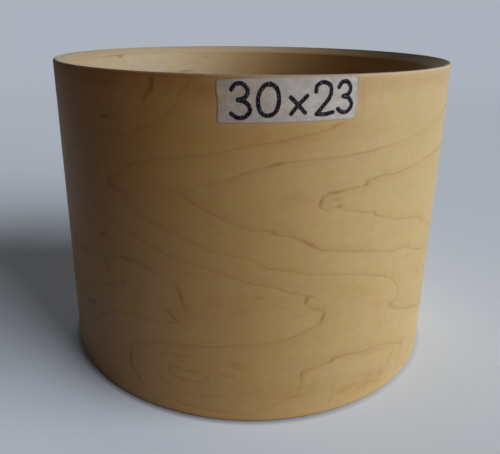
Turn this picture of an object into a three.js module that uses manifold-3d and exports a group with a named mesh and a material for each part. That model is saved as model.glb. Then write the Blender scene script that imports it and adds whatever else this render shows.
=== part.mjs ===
// A bare drum shell for a 12 in tom, 9 in deep. Ten maple veneers are each rolled into a ring
// and glued inside one another. The same bearing edge is cut through the stack at both rims:
// a small roundover outside, a narrow flat land, and a long bevel down to the inner wall.
// A strip of masking tape on the outer face carries the shell's size.
// Millimetres, +Z up, origin on the shell's axis in the plane of the bottom rim, front at -Y.
import * as THREE from "three";
import { mergeVertices } from "three/addons/utils/BufferGeometryUtils.js";
import Module from "manifold-3d";

const wasm = await Module();
wasm.setup();

// The shell
const outerDiameter = 301.6; // 11-7/8 in, so that a 12 in head slips over it
const shellDepth = 228.6; // 9 in

// The veneers
const plyThickness = 0.75;
const glueFilm = 0.05;
const plyNames = [
  "ply_01_outer_face",
  "ply_02_cross_band",
  "ply_03_core",
  "ply_04_cross_band",
  "ply_05_core",
  "ply_06_core",
  "ply_07_cross_band",
  "ply_08_core",
  "ply_09_cross_band",
  "ply_10_inner_face",
];

// The butt seams, where a veneer's two ends meet
const seamGap = 0.1;
const seamOverrun = 5; // how far the slit's cutter reaches past the ply on every side
const firstSeamAngle = 97; // degrees round from +X, so the outer seam is at the back
const seamStagger = 108; // degrees from one ply's seam to the next

// The bearing edge, cut alike at both rims
const edgeRoundover = 1.6; // 1/16 in
const edgeLand = 0.4;
const bevelAngle = 45; // degrees below the land
const leastStep = 0.04; // edge points nearer to a ply's face than this are left out

// The strip of tape
const tapeLength = 80;
const tapeWidth = 24;
const tapeThickness = 0.15;
const tapeLift = 0.05; // the adhesive under the tape
const tapeBelowRim = 1.6; // from the top rim down to the middle of the tape's top edge
const tapeAngle = 8; // degrees from the front towards +X
const tapeTilt = 1.3; // degrees, right end up

// The tape's torn ends: [share of the width up from the bottom, share of the length outwards]
const leftEndShares = [
  [0.965, -0.001],
  [0.93, -0.005],
  [0.81, -0.001],
  [0.7, -0.004],
  [0.56, -0.01],
  [0.37, -0.011],
  [0.2, -0.006],
  [0, -0.003],
];
const rightEndShares = [
  [0, -0.005],
  [0.09, -0.001],
  [0.17, 0.001],
  [0.27, 0.006],
  [0.39, 0.012],
  [0.47, 0.018],
  [0.53, 0.013],
  [0.61, 0.012],
  [0.76, 0.015],
  [0.92, 0.014],
  [1, -0.006],
];
// Its top edge: [share of the length from the left end, share of the width upwards]
const topEdgeShares = [
  [0.9, 0.012],
  [0.7, 0.026],
  [0.45, 0.034],
  [0.22, 0.026],
  [0.09, 0.006],
];

// How finely the round surfaces are divided
const ringSegments = 120;
const roundoverSteps = 6;

const outerRadius = outerDiameter / 2;
const plyPitch = plyThickness + glueFilm;
const tapeCentreHeight = shellDepth - tapeBelowRim - tapeWidth / 2;

const maple = {
  face: new THREE.MeshStandardMaterial({ color: 0xbea579, roughness: 0.62, metalness: 0 }),
  core: new THREE.MeshStandardMaterial({ color: 0xa99b80, roughness: 0.7, metalness: 0 }),
  crossBand: new THREE.MeshStandardMaterial({ color: 0x8f7f63, roughness: 0.75, metalness: 0 }),
  inner: new THREE.MeshStandardMaterial({ color: 0xa99e84, roughness: 0.68, metalness: 0 }),
};
const paper = new THREE.MeshStandardMaterial({ color: 0xb6b0aa, roughness: 0.85, metalness: 0 });

function radians(degrees) {
  return THREE.MathUtils.degToRad(degrees);
}

// A closed geometry as a solid for cutting
function solidFrom(geometry) {
  const bare = geometry.index ? geometry.toNonIndexed() : geometry.clone();
  bare.deleteAttribute("normal");
  bare.deleteAttribute("uv");
  const merged = mergeVertices(bare);
  return new wasm.Manifold(
    new wasm.Mesh({
      numProp: 3,
      vertProperties: merged.attributes.position.array,
      triVerts: new Uint32Array(merged.index.array),
    }),
  );
}

function meshFrom(solid, name, material) {
  const { numProp, numVert, vertProperties, triVerts } = solid.getMesh();
  const positions = new Float32Array(numVert * 3);
  for (let i = 0; i < numVert; i += 1) {
    positions.set(vertProperties.subarray(i * numProp, i * numProp + 3), i * 3);
  }
  const geometry = new THREE.BufferGeometry();
  geometry.setAttribute("position", new THREE.BufferAttribute(positions, 3));
  geometry.setIndex(new THREE.BufferAttribute(triVerts, 1));
  geometry.computeVertexNormals();
  const mesh = new THREE.Mesh(geometry, material);
  mesh.name = name;
  return mesh;
}

// A profile of [radius, height] points, turned once round the Z axis
function ringFrom(profile) {
  const points = profile.map(([radius, height]) => new THREE.Vector2(radius, height));
  const geometry = new THREE.LatheGeometry([...points, points[0]], ringSegments);
  geometry.rotateX(radians(90));
  return solidFrom(geometry);
}

// How far the cut edge lies below the rim's land, at a distance in from the outer face
function edgeDrop(inset) {
  if (inset < edgeRoundover) {
    return edgeRoundover - Math.sqrt(edgeRoundover ** 2 - (edgeRoundover - inset) ** 2);
  }
  return Math.max(0, inset - edgeRoundover - edgeLand) * Math.tan(radians(bevelAngle));
}

// The distances in from the outer face where the cut edge bends
function edgeBends() {
  const bends = [edgeRoundover, edgeRoundover + edgeLand];
  for (let step = 1; step < roundoverSteps; step += 1) {
    bends.push(edgeRoundover * (1 - Math.cos(radians((90 * step) / roundoverSteps))));
  }
  return bends.sort((a, b) => a - b);
}

// One veneer: a ring whose rims follow the bearing edge, slit where its ends butt together
function makePly(index) {
  const outerInset = index * plyPitch;
  const innerInset = outerInset + plyThickness;
  const bends = edgeBends().filter(
    (inset) => inset > outerInset + leastStep && inset < innerInset - leastStep,
  );
  const insets = [outerInset, ...bends, innerInset];
  const topRim = insets.map((inset) => [outerRadius - inset, shellDepth - edgeDrop(inset)]);
  const bottomRim = insets.map((inset) => [outerRadius - inset, edgeDrop(inset)]);
  const ring = ringFrom([...bottomRim.reverse(), ...topRim]);
  return ring.subtract(makeSeamCutter(outerInset, innerInset, index));
}

// A thin upright slab that parts a ply at its seam
function makeSeamCutter(outerInset, innerInset, index) {
  const slab = new THREE.BoxGeometry(
    innerInset - outerInset + 2 * seamOverrun,
    seamGap,
    shellDepth + 2 * seamOverrun,
  );
  slab.translate(outerRadius - (outerInset + innerInset) / 2, 0, shellDepth / 2);
  slab.rotateZ(radians(firstSeamAngle + index * seamStagger));
  return solidFrom(slab);
}

// The tape's outline as it looks square on, with its length measured round the shell
function tapeOutline(radius) {
  const corner = (alongShare, heightShare) => {
    const across = radius * Math.sin((alongShare * tapeLength) / radius);
    return new THREE.Vector2(across, (heightShare - 1 / 2) * tapeWidth);
  };
  const left = leftEndShares.map(([height, outwards]) => corner(-1 / 2 - outwards, height));
  const right = rightEndShares.map(([height, outwards]) => corner(1 / 2 + outwards, height));
  const top = topEdgeShares.map(([along, upwards]) => corner(along - 1 / 2, 1 + upwards));
  return new THREE.Shape([...left, ...right, ...top]);
}

// The tape: its outline pressed straight back through a thin sleeve round the outer ply
function makeTape() {
  const innerRadius = outerRadius + tapeLift;
  const tapeRadius = innerRadius + tapeThickness;
  const sleeve = ringFrom([
    [innerRadius, 0],
    [tapeRadius, 0],
    [tapeRadius, shellDepth],
    [innerRadius, shellDepth],
  ]);
  const press = new THREE.ExtrudeGeometry(tapeOutline(tapeRadius), {
    depth: tapeRadius,
    bevelEnabled: false,
  });
  press.rotateZ(radians(tapeTilt));
  press.rotateX(radians(90));
  press.translate(0, 0, tapeCentreHeight);
  press.rotateZ(radians(tapeAngle));
  return sleeve.intersect(solidFrom(press));
}

function plyMaterial(name) {
  if (name.endsWith("outer_face")) return maple.face;
  if (name.endsWith("inner_face")) return maple.inner;
  return name.endsWith("cross_band") ? maple.crossBand : maple.core;
}

const drumShell = new THREE.Group();
plyNames.forEach((name, index) => {
  drumShell.add(meshFrom(makePly(index), name, plyMaterial(name)));
});
drumShell.add(meshFrom(makeTape(), "size_tape", paper));

export default drumShell;
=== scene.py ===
import math

import bpy
import numpy as np
from mathutils import Matrix, Vector


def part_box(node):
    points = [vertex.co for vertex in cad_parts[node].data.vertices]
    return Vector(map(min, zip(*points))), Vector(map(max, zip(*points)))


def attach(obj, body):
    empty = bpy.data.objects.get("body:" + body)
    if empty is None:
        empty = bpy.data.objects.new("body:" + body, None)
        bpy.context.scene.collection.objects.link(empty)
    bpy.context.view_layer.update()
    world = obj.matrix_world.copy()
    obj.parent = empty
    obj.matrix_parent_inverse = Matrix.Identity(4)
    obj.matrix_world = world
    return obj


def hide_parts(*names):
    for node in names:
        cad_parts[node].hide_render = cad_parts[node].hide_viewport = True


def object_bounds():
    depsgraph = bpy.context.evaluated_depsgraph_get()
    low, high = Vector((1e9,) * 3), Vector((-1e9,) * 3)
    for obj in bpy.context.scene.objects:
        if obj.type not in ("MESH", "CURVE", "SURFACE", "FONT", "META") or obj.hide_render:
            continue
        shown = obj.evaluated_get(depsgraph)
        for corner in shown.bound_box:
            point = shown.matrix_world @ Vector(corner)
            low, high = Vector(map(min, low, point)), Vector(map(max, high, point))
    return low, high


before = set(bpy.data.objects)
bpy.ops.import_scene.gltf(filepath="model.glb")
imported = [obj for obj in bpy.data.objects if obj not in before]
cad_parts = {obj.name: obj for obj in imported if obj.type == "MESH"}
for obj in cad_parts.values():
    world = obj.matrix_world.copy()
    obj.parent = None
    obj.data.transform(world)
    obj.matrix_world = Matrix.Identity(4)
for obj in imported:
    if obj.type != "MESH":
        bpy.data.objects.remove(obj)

cad_box = [list(corner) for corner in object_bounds()]

MM = 0.001  # lengths below are in millimetres where they are multiplied by this

# The shell, from the frame
shell_low, shell_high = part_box("ply_01_outer_face")
OUTER_RADIUS = (shell_high[0] - shell_low[0]) / 2
SHELL_DEPTH = cad_box[1][2]
PLY_NODES = sorted(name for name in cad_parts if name.startswith("ply_"))

# The veneers
PLY_THICKNESS = 0.75 * MM
GLUE_FILM = 0.05 * MM
PLY_PITCH = PLY_THICKNESS + GLUE_FILM
SEAM_GAP = 0.1 * MM
FIRST_SEAM = 97  # degrees round from +X
SEAM_STAGGER = 108  # degrees from one ply's seam to the next
FRONT = 270  # the direction of -Y, in degrees round from +X
BACK = 450  # the direction of +Y, a turn later

# The bearing edge
ROUNDOVER = 1.6 * MM
LAND = 0.4 * MM
BEVEL_SLOPE = math.tan(math.radians(45))
RIDGE_WEAR = 0.15 * MM  # how far the ridge between land and bevel is rubbed round
RIM_STEPS = 12

# How finely the veneers are divided
FACE_ROWS = 190
FRONT_COLUMNS = 300  # of the outer face, over the stretch that the photograph shows
FRONT_SPAN = 58  # degrees to each side of the front
OTHER_COLUMNS = 150  # of the outer face, over the rest of the turn
INNER_COLUMNS = 420
CORE_COLUMNS = 480
SHARP_ANGLE = math.radians(32)
BAKE_MARGIN = 0.004  # a share of the baked picture's side
HIDDEN_SHARE = 0.03  # how much of the baked picture a glued side gets

# The tape
TAPE_NODE = "size_tape"
TAPE_LENGTH = 80 * MM
TAPE_WIDTH = 24 * MM
TAPE_THICKNESS = 0.15 * MM
TAPE_LIFT = 0.05 * MM
TAPE_BELOW_RIM = 1.6 * MM
TAPE_ANGLE = 8  # degrees from the front towards +X
TAPE_TILT = 1.3  # degrees, right end up
TAPE_COLUMNS = 260
TAPE_ROWS = 80
CREPE_DEPTH = 0.03 * MM

SAME_PLACE = 1e-9  # metres, below which two places count as one

# The camera, as the photograph was taken: its frame is 500 by 454 pixels
PHOTO_WIDTH = 500
PHOTO_HEIGHT = 454
CAMERA_PLACE = Vector((0, -0.4434, 0.2576))
CAMERA_YAW = math.radians(-0.665)
CAMERA_PITCH = math.radians(19.03)
CAMERA_ROLL = math.radians(0.58)
FOCAL_PIXELS = 535.1
AXIS_PIXEL = (243.55, 201.92)
SENSOR_WIDTH = 36
CLIP_START = 0.01

# The growth lines of the outer face, read off the photograph one by one. Each has its level in the
# field of rings, how dark it is, and its points: millimetres round from the front and up from the
# bottom.
GROWTH_LINES = [
    (0, 0.28, [
        (-84, 228), (-88, 222), (-92, 218), (-98, 213.5), (-102, 208), (-105, 204), (-110, 201),
        (-116, 199.5), (-122, 198.3), (-130, 197), (-140, 195.5), (-150, 194.5), (-175, 188)]),
    (1, 0.7, [
        (-32, 228), (-36, 221.5), (-39.5, 218), (-41, 214), (-43, 210), (-47, 207), (-51, 204),
        (-55, 200.5), (-59, 198.3), (-64, 196.7), (-70, 194.2), (-77, 191)]),
    (1, 0.45, [
        (-83, 188.3), (-90, 186), (-97, 183.5), (-105, 181.7), (-112, 179.7), (-120, 178.5),
        (-130, 177), (-140, 176), (-150, 174.5), (-170, 171)]),
    (2, 0, [(66, 228), (63, 212), (60.5, 206)]),
    (2, 0.8, [
        (56, 202.3), (52, 201.3), (48, 199.7), (45, 198.5), (37, 196.3), (28, 194.7), (20, 192.7),
        (10, 191.2), (0, 189.7), (-10, 187), (-20, 185), (-30, 183), (-40, 181.2), (-50, 180),
        (-58, 178.5), (-65, 176.5), (-72, 174.3), (-77, 171.5), (-83, 168), (-88, 164.7), (-92, 162.5),
        (-95, 160.5), (-96.5, 158.2), (-94, 157), (-88, 156.3), (-84, 154.5), (-79.5, 152), (-78, 150),
        (-79.7, 147), (-79, 144.3), (-75, 143), (-70, 141.5), (-64, 139.5), (-57, 137), (-45, 132.8),
        (-35, 129), (-27, 125.7), (-18, 123.3), (-9, 122.2), (0, 120.5), (6, 117.5), (12, 114.2),
        (20, 112.5), (28, 111.2), (36, 109.2), (45, 107.7), (55, 106), (65, 104.4), (75, 102.3),
        (85, 99.8), (93, 96.8), (100, 94), (106, 90.5), (110, 87), (113.7, 83), (115.5, 79), (116, 75),
        (115, 72.6), (111.5, 71.4), (107.5, 71), (105, 70.5), (107, 69.4), (110, 67.8), (113, 66),
        (120, 62.5), (130, 58.5), (138, 56), (145, 53.5), (150, 52), (175, 45)]),
    (2, 0.45, [
        (116, 228.5), (121, 227.2), (128, 225.2), (135, 223.5), (142, 221.5), (150, 219), (165, 215),
        (178, 211)]),
    (3, 0.85, [
        (175, 201), (150, 195.5), (140, 193.3), (130, 191), (120, 188.9), (110, 187.2), (100, 186.2),
        (88, 185), (75, 183.5), (60, 182.5), (45, 181.6), (32, 181), (22, 180.1), (17, 179.3),
        (12, 178.2), (5, 176.4), (-2, 174), (-10, 170.7), (-20, 167), (-27, 165), (-33, 163.3),
        (-37, 161.6), (-39.5, 159.8), (-38.8, 157.8), (-36.5, 155.6), (-33, 153.5), (-28, 151.3),
        (-20, 148), (-12, 144.3), (-5, 141), (2, 139), (8, 138.5), (13, 138.2), (16, 136.7), (22, 135),
        (27, 133.8), (32, 131), (38, 128), (43, 125.2), (47, 123.7), (55, 122.6), (62, 120.9),
        (72, 119.2), (85, 116.5), (93, 114.3), (100, 112.5), (110, 111.8), (120, 110.3), (130, 106),
        (140, 102), (150, 99.5), (175, 91)]),
    (4, 0.95, [
        (165, 171.5), (150, 171), (138, 170.5), (128, 170), (118, 168.6), (110, 167.8), (102, 166.8),
        (95, 166.6), (88, 167), (82, 166.5), (76, 165.6), (74.5, 164.8), (74, 163.2), (72.5, 162.4),
        (69, 162), (62, 161.6), (57, 161.2), (52, 160.3), (47, 159.8), (45, 158.4), (43.3, 156.5),
        (42.3, 154), (42.6, 151.8), (44.5, 150.2), (47, 149.5), (49.5, 150.2), (52.5, 151), (55.5, 151),
        (57.3, 150), (58.3, 148.8), (62, 147.8), (68, 146.2), (74, 144.7), (79, 144.4), (82, 143.6),
        (83, 142.2), (84.5, 141.2), (90, 139.5), (97, 137.2), (105, 134.6), (112, 133), (120, 131.8),
        (130, 129.8), (135, 127.5), (140, 124.5), (148, 120.5), (160, 115), (178, 109)]),
    (1, 0.85, [
        (-126.5, 143.6), (-112, 139.5), (-101.5, 136), (-92, 132.5), (-84, 129), (-78, 127.5),
        (-72, 125.5), (-66, 123.5), (-60, 121.2), (-54, 119), (-48, 117.2), (-42, 115.4), (-35, 114.6),
        (-28, 113.2), (-20, 110.5), (-12, 107.8), (-5, 105.7), (2, 104), (10, 102.3), (17, 100.8),
        (22, 98.5), (28, 96.4), (33, 94.7), (37, 93.4), (41.5, 92.4), (38, 91.4), (36.2, 90),
        (36.8, 88), (38.8, 86.2), (42, 84.2), (46, 82.2), (49.2, 80.3), (50, 78.6), (49.1, 76.5),
        (48.4, 74.3), (47, 72.6), (44, 71.2), (40, 69.6), (36, 67.6), (32, 65.9), (27, 63.8),
        (20, 62.3), (10, 61.2), (0, 60), (-15, 58.2), (-30, 56.8), (-45, 55), (-56, 53.5), (-66, 51.8),
        (-73, 50), (-78, 48), (-82, 45.5), (-84.3, 42), (-85, 38), (-86, 33), (-85.7, 29),
        (-84.5, 25.5), (-82, 22.3), (-79, 18.5)]),
    (1, 0.6, [
        (-72, 14.5), (-64, 13), (-56, 11.7), (-50, 10), (-40, 8.5), (-28, 7.8), (-15, 7), (-5, 5.6),
        (2, 6), (8, 7.8), (14, 10), (19, 12.7), (24, 16), (28, 17.6), (31.5, 18.3)]),
    (1, 0.9, [
        (33.5, 20), (35.2, 23.5), (36.6, 27), (36.9, 30.5), (36, 33.5), (36.3, 36), (38.5, 37.3),
        (43, 38.7), (50, 40), (55.5, 41), (59, 42.8), (64, 43.5), (70, 43.6), (76, 42.8), (84, 41.8),
        (92, 41.4), (100, 40.5), (107, 39), (113, 36.7), (119, 33.9), (125, 31.4), (129.3, 29.3)]),
    (1, 0.25, [(131.3, 27), (131, 22.5), (129, 17), (124, 9)]),
    (0, 0.72, [
        (-125, 128), (-112, 123), (-100, 118.5), (-92, 115.5), (-85, 111.5), (-78, 108.7), (-70, 107),
        (-63, 104.8), (-57, 102.7), (-51, 99.7), (-46.5, 97.3), (-44.3, 94.5), (-43, 91), (-42, 88),
        (-41.3, 85), (-39, 82.6), (-42.5, 81.2), (-48, 80.3), (-53, 79.6), (-51, 77), (-48, 74.2),
        (-45, 71.8), (-48.5, 70.8), (-56, 70), (-66, 69.2), (-76, 68.5), (-85, 67.5), (-92, 66.3),
        (-98, 65.2), (-104, 63), (-109, 60.3), (-115, 56), (-124, 48.6)]),
    (-1, 0.42, [
        (-151.5, 109), (-138, 108.5), (-124, 107.5), (-115, 105.5), (-108, 103.5), (-104, 100),
        (-101, 95.5), (-95, 93), (-89, 91.5), (-91.5, 88.5), (-98, 86), (-105, 84), (-112, 81.5),
        (-120, 78), (-130, 75), (-140, 72.5), (-160, 66)]),
    (2, 0.25, [
        (-60, 45), (-30, 48), (-14, 47), (-8, 45.5), (-3, 42), (1, 38.5), (6, 36.2), (10, 33.5),
        (11, 30.5), (8, 25), (-10, 20.5), (-45, 18.5), (-60, 25), (-66, 34)]),
    (3, 0.75, [
        (-50.5, 37.3), (-53.3, 36.3), (-54, 34), (-52.5, 31.5), (-48, 29.3), (-40, 28.3), (-32, 28.7),
        (-27, 30), (-25, 32), (-27.5, 34.3), (-34, 35.5), (-42, 36.6)]),
]
# Places between the lines, with the level there
GROWTH_BETWEEN = [
    (100, 150, 4.5), (150, 145, 4.7), (10, 158, 3.5), (-65, 163, 2.5), (-120, 160, 1.6),
    (-150, 157, 1.3), (-20, 50, 1.6), (60, 60, 1.7), (90, 55, 1.8), (140, 35, 1.7),
    (-40, 2, 0.8), (80, 25, 0.6), (100, 20, 0.6), (60, 12, 0.6), (-150, 90, -1.4),
    (-120, 225, -0.5), (20, 215, 1.6), (100, 208, 2.5), (60, 215, 1.9),
    (-35.5, 83, 0.1), (-45, 77.3, 0.06), (-47, 83, -0.1), (-50, 90, -0.18), (-57, 76, -0.1),
    (-58, 82, -0.14), (-40, 70, 0.12), (33.5, 92, 0.93), (40.5, 89.5, 1.07), (45, 95, 1.12),
    (46, 86.5, 1.08), (54, 78.5, 1.12), (45, 77, 0.88), (100, 75, 1.84), (110.5, 75.5, 1.94),
    (121, 72, 2.12), (112.5, 69.4, 2.03), (106, 66, 1.92), (50, 155, 4.14), (62, 155, 4.25),
    (37.5, 155, 3.85), (77.5, 162.6, 4.08), (71, 164.6, 3.93), (53, 148.6, 3.93),
    (86, 143.6, 4.08), (79.5, 141.8, 3.93), (31, 28, 1.15), (42, 30, 0.86), (-40, 32.5, 3.2),
]
# Round the back, which the photograph doesn't show: the levels at five heights
BEHIND_HEIGHTS = (10, 60, 115, 170, 220)
GROWTH_BEHIND = {
    -450: (1.2, 1.9, 2.6, 2.1, 0.6),
    -410: (1.7, 2.4, 3.2, 2.7, 1),
    -350: (2.3, 1.2, 2.2, 3.1, 1.5),
    -290: (1.5, 0.4, 0.8, 2.4, 1.1),
    -230: (0.8, -0.6, -0.4, 1.6, 0.2),
    230: (1.5, 2.8, 4.6, 3.6, 1.2),
    290: (2.4, 3.9, 4.4, 2.6, 0.8),
    350: (2.8, 4.6, 3.4, 1.9, 0.4),
    410: (2.2, 3.7, 2.4, 1.2, 0.2),
    470: (1.6, 2.9, 1.8, 0.8, -0.2),
}
BEHIND_STRENGTH = 0.8
BEHIND_FROM = 190  # millimetres round from the front, where the lines start to waver
BEHIND_FADE = 40
LINE_REACH = 5  # millimetres, over which a line passes on how dark it is
FAINTEST = 1e-6  # a weight that counts only far from every line
# The inner face's rings run nearly level, over long low hills: centre round from the back and up
# from the bottom, half length, half height and how many rings each is high
INNER_RING_SPACING = 34
INNER_HILLS = [
    (-20, 190, 150, 30, 0.7), (120, 140, 170, 36, 1.1), (-150, 120, 160, 40, 1),
    (30, 70, 180, 34, 1.2), (260, 70, 160, 38, 1.3), (400, 160, 180, 40, 1.2),
    (560, 90, 170, 36, 1), (-230, 30, 150, 26, 0.9), (250, 205, 160, 28, -0.7),
    (480, 20, 150, 26, -0.8),
]
INNER_LINE_STRENGTH = 0.3
SLOPE_STEP = 0.5  # millimetres, over which a field's slope is taken
GRAIN_SHIFT = 7 * MM  # between one cut ply's grain and the next one's

# Where the wood is warmer in tone, partly as painted shade: centre, half length, half height and how
# much
OUTER_WARM_AND_SHADED_PATCHES = [
    # The first two are painted shade on the front's left and upper left, turned from the key lamp; the
    # rest is tone
    (-15, 115, 80, 400, 0.5), (-140, 250, 90, 110, 1.7), (-330, 90, 70, 110, 0.4),
    (300, 190, 60, 110, 0.3), (430, 60, 70, 120, 0.4),
]
INNER_WARM_AND_SHADED_PATCHES = [
    # The first is painted shade, warm and dark, on the inner face's right, which the key lamp doesn't
    # reach
    (-125, 160, 180, 400, 0.9), (215, 226, 60, 9, 0.22), (330, 60, 80, 160, 0.4),
    (520, 170, 70, 160, 0.4),
]
# The same columns, as painted light for the plies in the bevel, which leaves its far left darker; they
# are also a little paler from ply to ply inwards
BEVEL_LIGHT_PATCHES = [(-95, 228, 270, 500, 0.95), (430, 228, 120, 500, 0.5)]
BEVEL_GAIN = 0.09

# Stains and patches of the outer face, and painted shade along the rim and the foot: centre, half
# length, half height, tilt in degrees, and how dark and how red. The pale ones have only how pale.
OUTER_MARKS = [
    # Knots, flecks and dashes
    (-107, 119.5, 2.6, 1.5, 15, 0.95, 0.3), (-103, 121.3, 2.5, 1, 15, 0.4, 0.2),
    (-84.5, 109, 3.4, 1.1, -8, 0.8, 0.7), (-93, 107.7, 5, 0.8, 12, 0.1, 0.7),
    (-137, 101.5, 9, 2.6, -6, 0.2, 0.8), (-130, 100.5, 2.4, 1, 0, 0.7, 0.5),
    (-129, 97.3, 2.6, 1, 8, 0.7, 0.5), (-104, 99.5, 5.5, 2.4, -62, 0.35, 0.3),
    (-88, 90, 1.9, 1.4, 20, 0.5, 0.5), (-105, 84, 3.4, 1.4, 15, 0.35, 0.2),
    (-127, 61.5, 2.9, 1.7, 10, 0.9, 0.6), (-134, 59, 4.5, 1.4, 22, 0.15, 0.7),
    (-116, 56.5, 4, 1.7, 75, 0.3, 0.1), (-95, 200.4, 4.4, 1, 0, 0.95, 0.1),
    (-57, 223.8, 4.8, 2.1, 88, 0.95, 1), (-57.5, 219.5, 3.4, 1.7, 70, 0.8, 1),
    (-60.5, 216.6, 5, 1.5, 55, 0.6, 0.9), (7, 94, 2.6, 0.9, 0, 0.5, 0.4),
    (-43.2, 91, 6.5, 1.3, -74, 0.4, 0.5), (-49.5, 75.8, 5, 1, -43, 0.35, 0.3),
    (-85.5, 32, 9, 1.7, 92, 0.3, 0.4), (-78.8, 18.5, 3.4, 1.8, 90, 0, 0.8),
    (-53.8, 34, 2.8, 1, 90, 0.3, 0.2), (52, 160.2, 5, 1, 2, 0.25, 1),
    (42.8, 155, 3.8, 1.2, 80, 0.25, 1), (52.5, 156.2, 4, 0.9, -4, 0.35, 0.2),
    (55.5, 151, 2.4, 1, 0, 0.35, 0.8), (73.5, 163.5, 1.6, 1.5, 0, 0.25, 0.7),
    (83, 142.4, 1.8, 1, -40, 0.35, 0.3), (14.8, 137.4, 2.2, 1.1, -30, 0.2, 0.9),
    (37, 128.6, 9.5, 1.2, -32, 0.3, 0.7), (15, 179, 4.8, 1, 12, 0.4, 0.3),
    (37, 90, 2.8, 1.1, 80, 0.2, 0.9), (48.8, 76.5, 4.2, 1.2, 78, 0.25, 0.9),
    (48.5, 200, 3.4, 1.3, 25, 0.1, 1), (58, 41.9, 3.2, 1, 35, 0.35, 0.1),
    (36.3, 34.5, 2.6, 1, 95, 0.35, 0.2), (34.5, 18, 3.6, 1.4, 5, 0, 0.8),
    (31, 79.6, 3.6, 0.8, 0, 0.25, 0), (30, 28.3, 2.2, 0.8, 0, 0.3, 0.1),
    (106, 212, 2.8, 0.9, -30, 0.2, 0),
    # Streaky red and brown patches
    (73, 15.5, 12, 3.2, 8, 0.12, 0.55), (90, 18, 14, 2.4, 10, 0.08, 0.5),
    (97, 11.5, 10, 1.5, -18, 0.25, 0.4), (103.5, 17, 3.2, 2.8, -30, 0.28, 0.1),
    (60, 17, 9, 1.9, 82, 0.14, 0.4), (88, 12.5, 15, 3, 8, 0.1, 0.6),
    (105, 14.5, 10, 3, 15, 0.08, 0.5), (97, 37.5, 28, 2.4, -10, 0, 0.4),
    (131, 26, 6, 3, 85, 0, 0.4), (-14, 36, 12, 2.2, -15, 0, 0.45), (45, 20, 9, 3.6, 65, 0.05, 0.25),
    (114, 25, 12, 2.2, 55, 0.05, 0.35), (88, 21, 12, 3, -2, 0.08, 0.3),
    (145, 83.5, 8, 1.2, -38, 0.05, 0.8),
    # Broad zones of another tone, and painted shade
    (-105, 223, 50, 4.2, 0, 0.12, 0.6), (-90, 222, 4.5, 3, 0, 0.25, 0.2),
    # The last here is painted shade along the rim's left stretch, which the key lamp doesn't reach
    (-26, 219.5, 10, 7, 0, 0.1, 0.7), (-55, 228.6, 98, 2.3, 0, 1, 0),
    # These two are a painted contact shadow along the foot
    (-75, 0.1, 110, 1.7, 0, 1, 0), (50, 0.1, 75, 1.6, 0, 0.9, 0),
    (60, 222.5, 145, 5.2, 0, 0.24, 0.05), (-45, 224.5, 26, 4.5, 0, 0.25, 0.5),
    (65.5, 216, 9, 2.6, 90, 0, 0.4), (-43, 220.5, 15, 5, 0, 0.2, 0.2), (35, 23, 75, 8, 0, 0.13, 0),
    (24, 196, 48, 7, 2, 0.03, 0.4), (-22, 90, 6, 5, 0, 0, 0.45), (-5, 85, 8, 5.5, 90, 0.08, 0.3),
    (-35, 107, 7, 3, 5, 0, 0.25), (-77, 85, 8, 5, 90, 0, 0.3), (-7, 45, 7, 3, -20, 0.04, 0.6),
    (75, 88, 22, 7, -14, 0, 0.25), (95, 75, 13, 3.4, -15, 0, 0.3), (100, 58, 8, 4, 0, 0, 0.3),
    (-86, 148, 8, 5, 0, 0.1, 0.1), (-50, 159, 8, 4.5, 0, 0.1, 0), (28, 157, 12, 5, 0, 0.04, 0.2),
]
OUTER_PALE_MARKS = [
    (-50, 168.5, 10, 3.6, -5, 0.8), (-45, 226, 10, 2, 0, 0.4), (-40, 64, 11, 3.2, 4, 0.8),
    (-72, 120, 9, 7, 0, 0.4), (-8, 103, 10, 5, 0, 0.4), (78, 31, 32, 7, -3, 0.6),
    (30, 78, 14, 8, 0, 0.3), (-41, 33, 10, 3, 0, 0.35),
]
# The same for the inner face, with the places round from the back
INNER_MARKS = [
    (156, 222.3, 4, 1.5, -8, 1, 0.3), (163, 223.2, 14, 0.9, -3, 0.35, 0.3),
    (75, 204.2, 9, 0.8, -4, 1, 0.2), (92, 203.5, 12, 0.7, 3, 0.5, 0.2),
    (51, 218, 5, 1, -4, 0.25, 0.3), (-60, 190, 40, 9, 4, 0.1, 0.2),
    (-180, 120, 14, 3, 6, 0.4, 0.4), (210, 80, 30, 6, -4, 0.2, 0.4), (330, 60, 22, 4, 3, 0.3, 0.4),
]
INNER_PALE_MARKS = [(92, 207, 48, 18, 0, 1), (-130, 205, 42, 25, 0, 1)]
MARK_STEEPNESS = 1.2


# The camera


def put_in_scene(thing):
    bpy.context.scene.collection.objects.link(thing)


def make_camera():
    forward = Vector((
        math.sin(CAMERA_YAW) * math.cos(CAMERA_PITCH),
        math.cos(CAMERA_YAW) * math.cos(CAMERA_PITCH),
        -math.sin(CAMERA_PITCH),
    ))
    level_right = Vector((math.cos(CAMERA_YAW), -math.sin(CAMERA_YAW), 0))
    level_up = level_right.cross(forward)
    right = level_right * math.cos(CAMERA_ROLL) + level_up * math.sin(CAMERA_ROLL)
    up = level_up * math.cos(CAMERA_ROLL) - level_right * math.sin(CAMERA_ROLL)
    data = bpy.data.cameras.new("photo_camera")
    data.sensor_width = SENSOR_WIDTH
    data.lens = SENSOR_WIDTH * FOCAL_PIXELS / PHOTO_WIDTH
    data.shift_x = (PHOTO_WIDTH / 2 - AXIS_PIXEL[0]) / PHOTO_WIDTH
    data.shift_y = (AXIS_PIXEL[1] - PHOTO_HEIGHT / 2) / PHOTO_WIDTH
    data.clip_start = CLIP_START
    camera = bpy.data.objects.new("photo_camera", data)
    axes = Matrix((right, up, -forward)).transposed()
    camera.matrix_world = Matrix.Translation(CAMERA_PLACE) @ axes.to_4x4()
    put_in_scene(camera)
    bpy.context.scene.camera = camera


make_camera()


# A material's node tree


COAT_ROUGHNESS = 0.42
COAT_IOR = 1.35


def shaded(colour, factor):
    return [part * factor for part in colour]


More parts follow.
